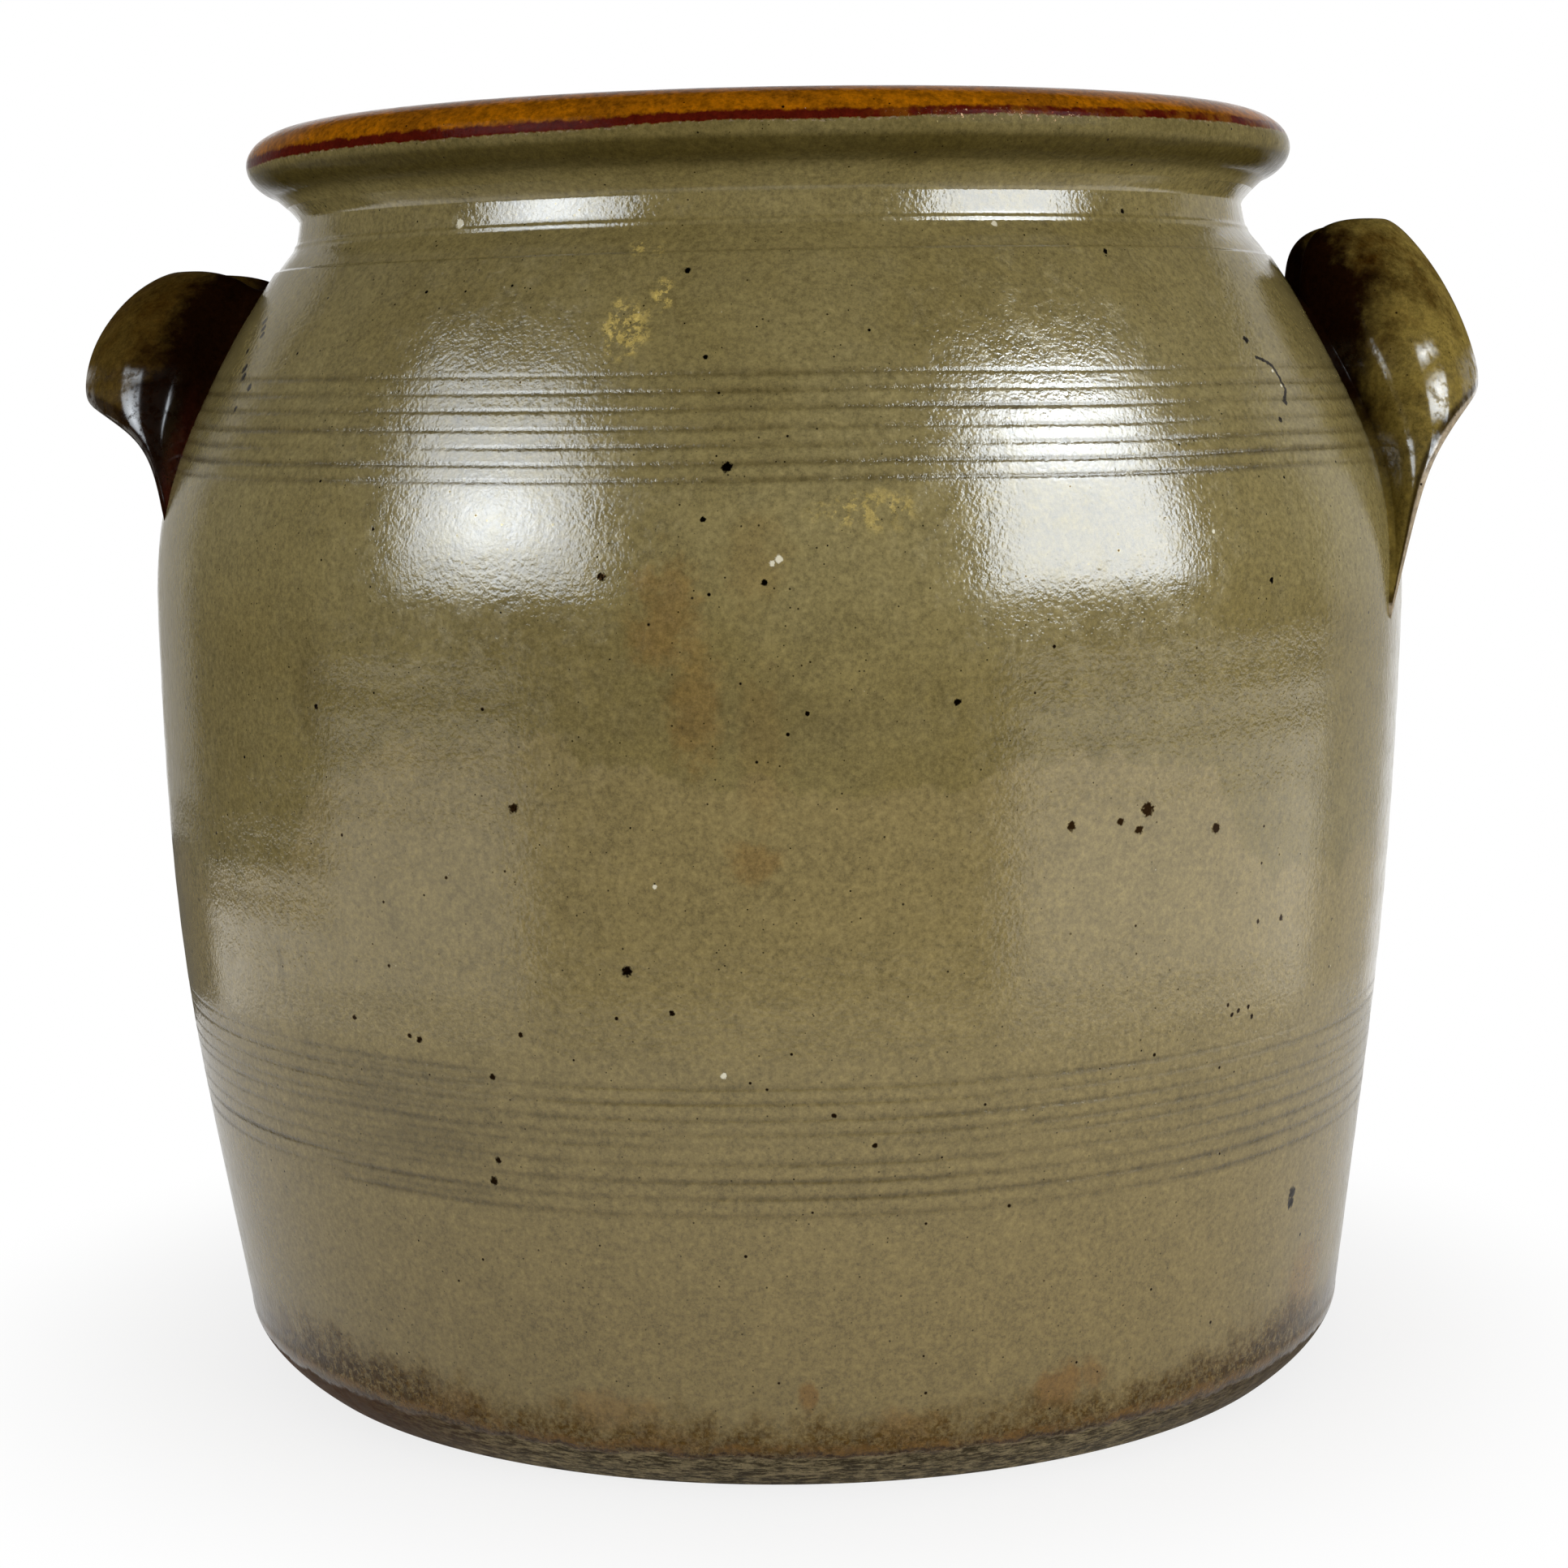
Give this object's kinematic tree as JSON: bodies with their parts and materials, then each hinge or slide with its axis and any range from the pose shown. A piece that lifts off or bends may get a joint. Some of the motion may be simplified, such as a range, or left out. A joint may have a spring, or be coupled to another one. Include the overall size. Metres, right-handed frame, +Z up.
{
  "type": "confit pot",
  "caption": "Salt-glazed stoneware confit pot: bellied body with a rolled lip, combed bands and strap handles.",
  "frame": {"origin": "centre of the flat foot, on the surface that the pot stands on", "axes": "+Z up out of the mouth, +X towards the right handle, -Y towards the front"},
  "size_m": [0.3134, 0.2806, 0.276],
  "materials": {
    "olive_salt_glaze": "glossy",
    "iron_brown_glaze": "glossy"
  },
  "bodies": {
    "root": {"pot_body": "olive_salt_glaze", "handle_right": "iron_brown_glaze", "handle_left": "iron_brown_glaze"}
  },
  "joints": []
}
